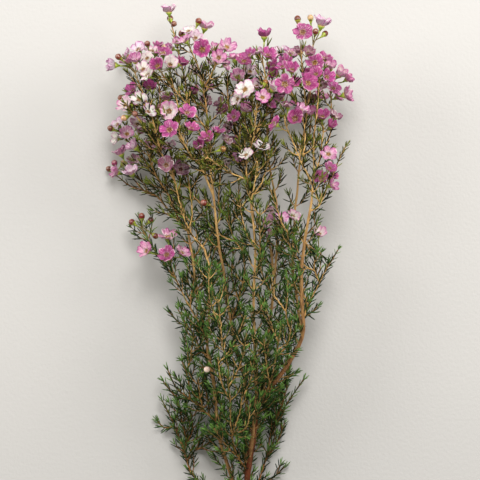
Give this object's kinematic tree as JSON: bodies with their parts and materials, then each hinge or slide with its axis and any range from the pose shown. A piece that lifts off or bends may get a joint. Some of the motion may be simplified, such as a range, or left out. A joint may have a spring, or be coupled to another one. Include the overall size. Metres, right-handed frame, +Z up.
{
  "type": "waxflower stem",
  "caption": "Cut flowering stem lying down: forked woody limbs, green twigs with needle leaves, clusters of small five-petalled pink and white waxy blooms and round buds.",
  "frame": {"origin": "middle of the lying stem's box on the surface it rests on", "axes": "+Y along the stem from the cut end to the tips, +X across it, +Z up from the surface"},
  "size_m": [0.2714, 0.6078, 0.1388],
  "materials": {
    "bark": "matte",
    "leaf": "satin",
    "petal_pale": "satin",
    "petal_pink": "satin",
    "petal_magenta": "satin",
    "cup": "satin",
    "anther": "matte",
    "bud": "satin"
  },
  "bodies": {
    "root": {"woody_stem": "bark", "flowering_twig_01": "leaf", "flowering_twig_02": "leaf", "flowering_twig_03": "leaf", "flowering_twig_04": "leaf", "flowering_twig_05": "leaf", "flowering_twig_06": "leaf", "flowering_twig_07": "leaf", "flowering_twig_08": "leaf", "flowering_twig_09": "leaf", "flowering_twig_10": "leaf", "flowering_twig_11": "leaf", "flowering_twig_12": "leaf", "flowering_twig_13": "leaf", "leafy_shoot_01": "leaf", "leafy_shoot_02": "leaf", "leafy_shoot_03": "leaf", "leafy_shoot_04": "leaf", "leafy_shoot_05": "leaf", "leafy_shoot_06": "leaf", "leafy_shoot_07": "leaf", "leafy_shoot_08": "leaf", "leafy_shoot_09": "leaf", "blooms_01": "petal_pink", "blooms_02": "petal_pale", "blooms_03": "petal_magenta", "blooms_04": "petal_pink", "blooms_05": "petal_pink", "blooms_06": "petal_magenta", "blooms_07": "petal_pale", "blooms_08": "petal_pink", "blooms_09": "petal_magenta", "blooms_10": "petal_pink", "blooms_11": "petal_magenta", "blooms_12": "petal_pink", "blooms_13": "petal_magenta", "blooms_14": "petal_pink", "blooms_15": "petal_magenta", "blooms_16": "petal_pink", "blooms_17": "petal_magenta", "blooms_18": "petal_pale", "blooms_19": "petal_pink", "blooms_20": "petal_pink", "blooms_21": "petal_pale", "blooms_22": "petal_magenta", "blooms_23": "petal_pink", "blooms_24": "petal_pale", "blooms_25": "petal_magenta", "blooms_26": "petal_pale", "blooms_27": "petal_pink", "blooms_28": "petal_pink", "blooms_29": "petal_magenta", "blooms_30": "petal_pink", "blooms_31": "petal_pale", "blooms_32": "petal_pink", "blooms_33": "petal_pink", "blooms_34": "petal_pale", "blooms_35": "petal_pink", "blooms_36": "bud", "blooms_37": "bud"}
  },
  "joints": []
}
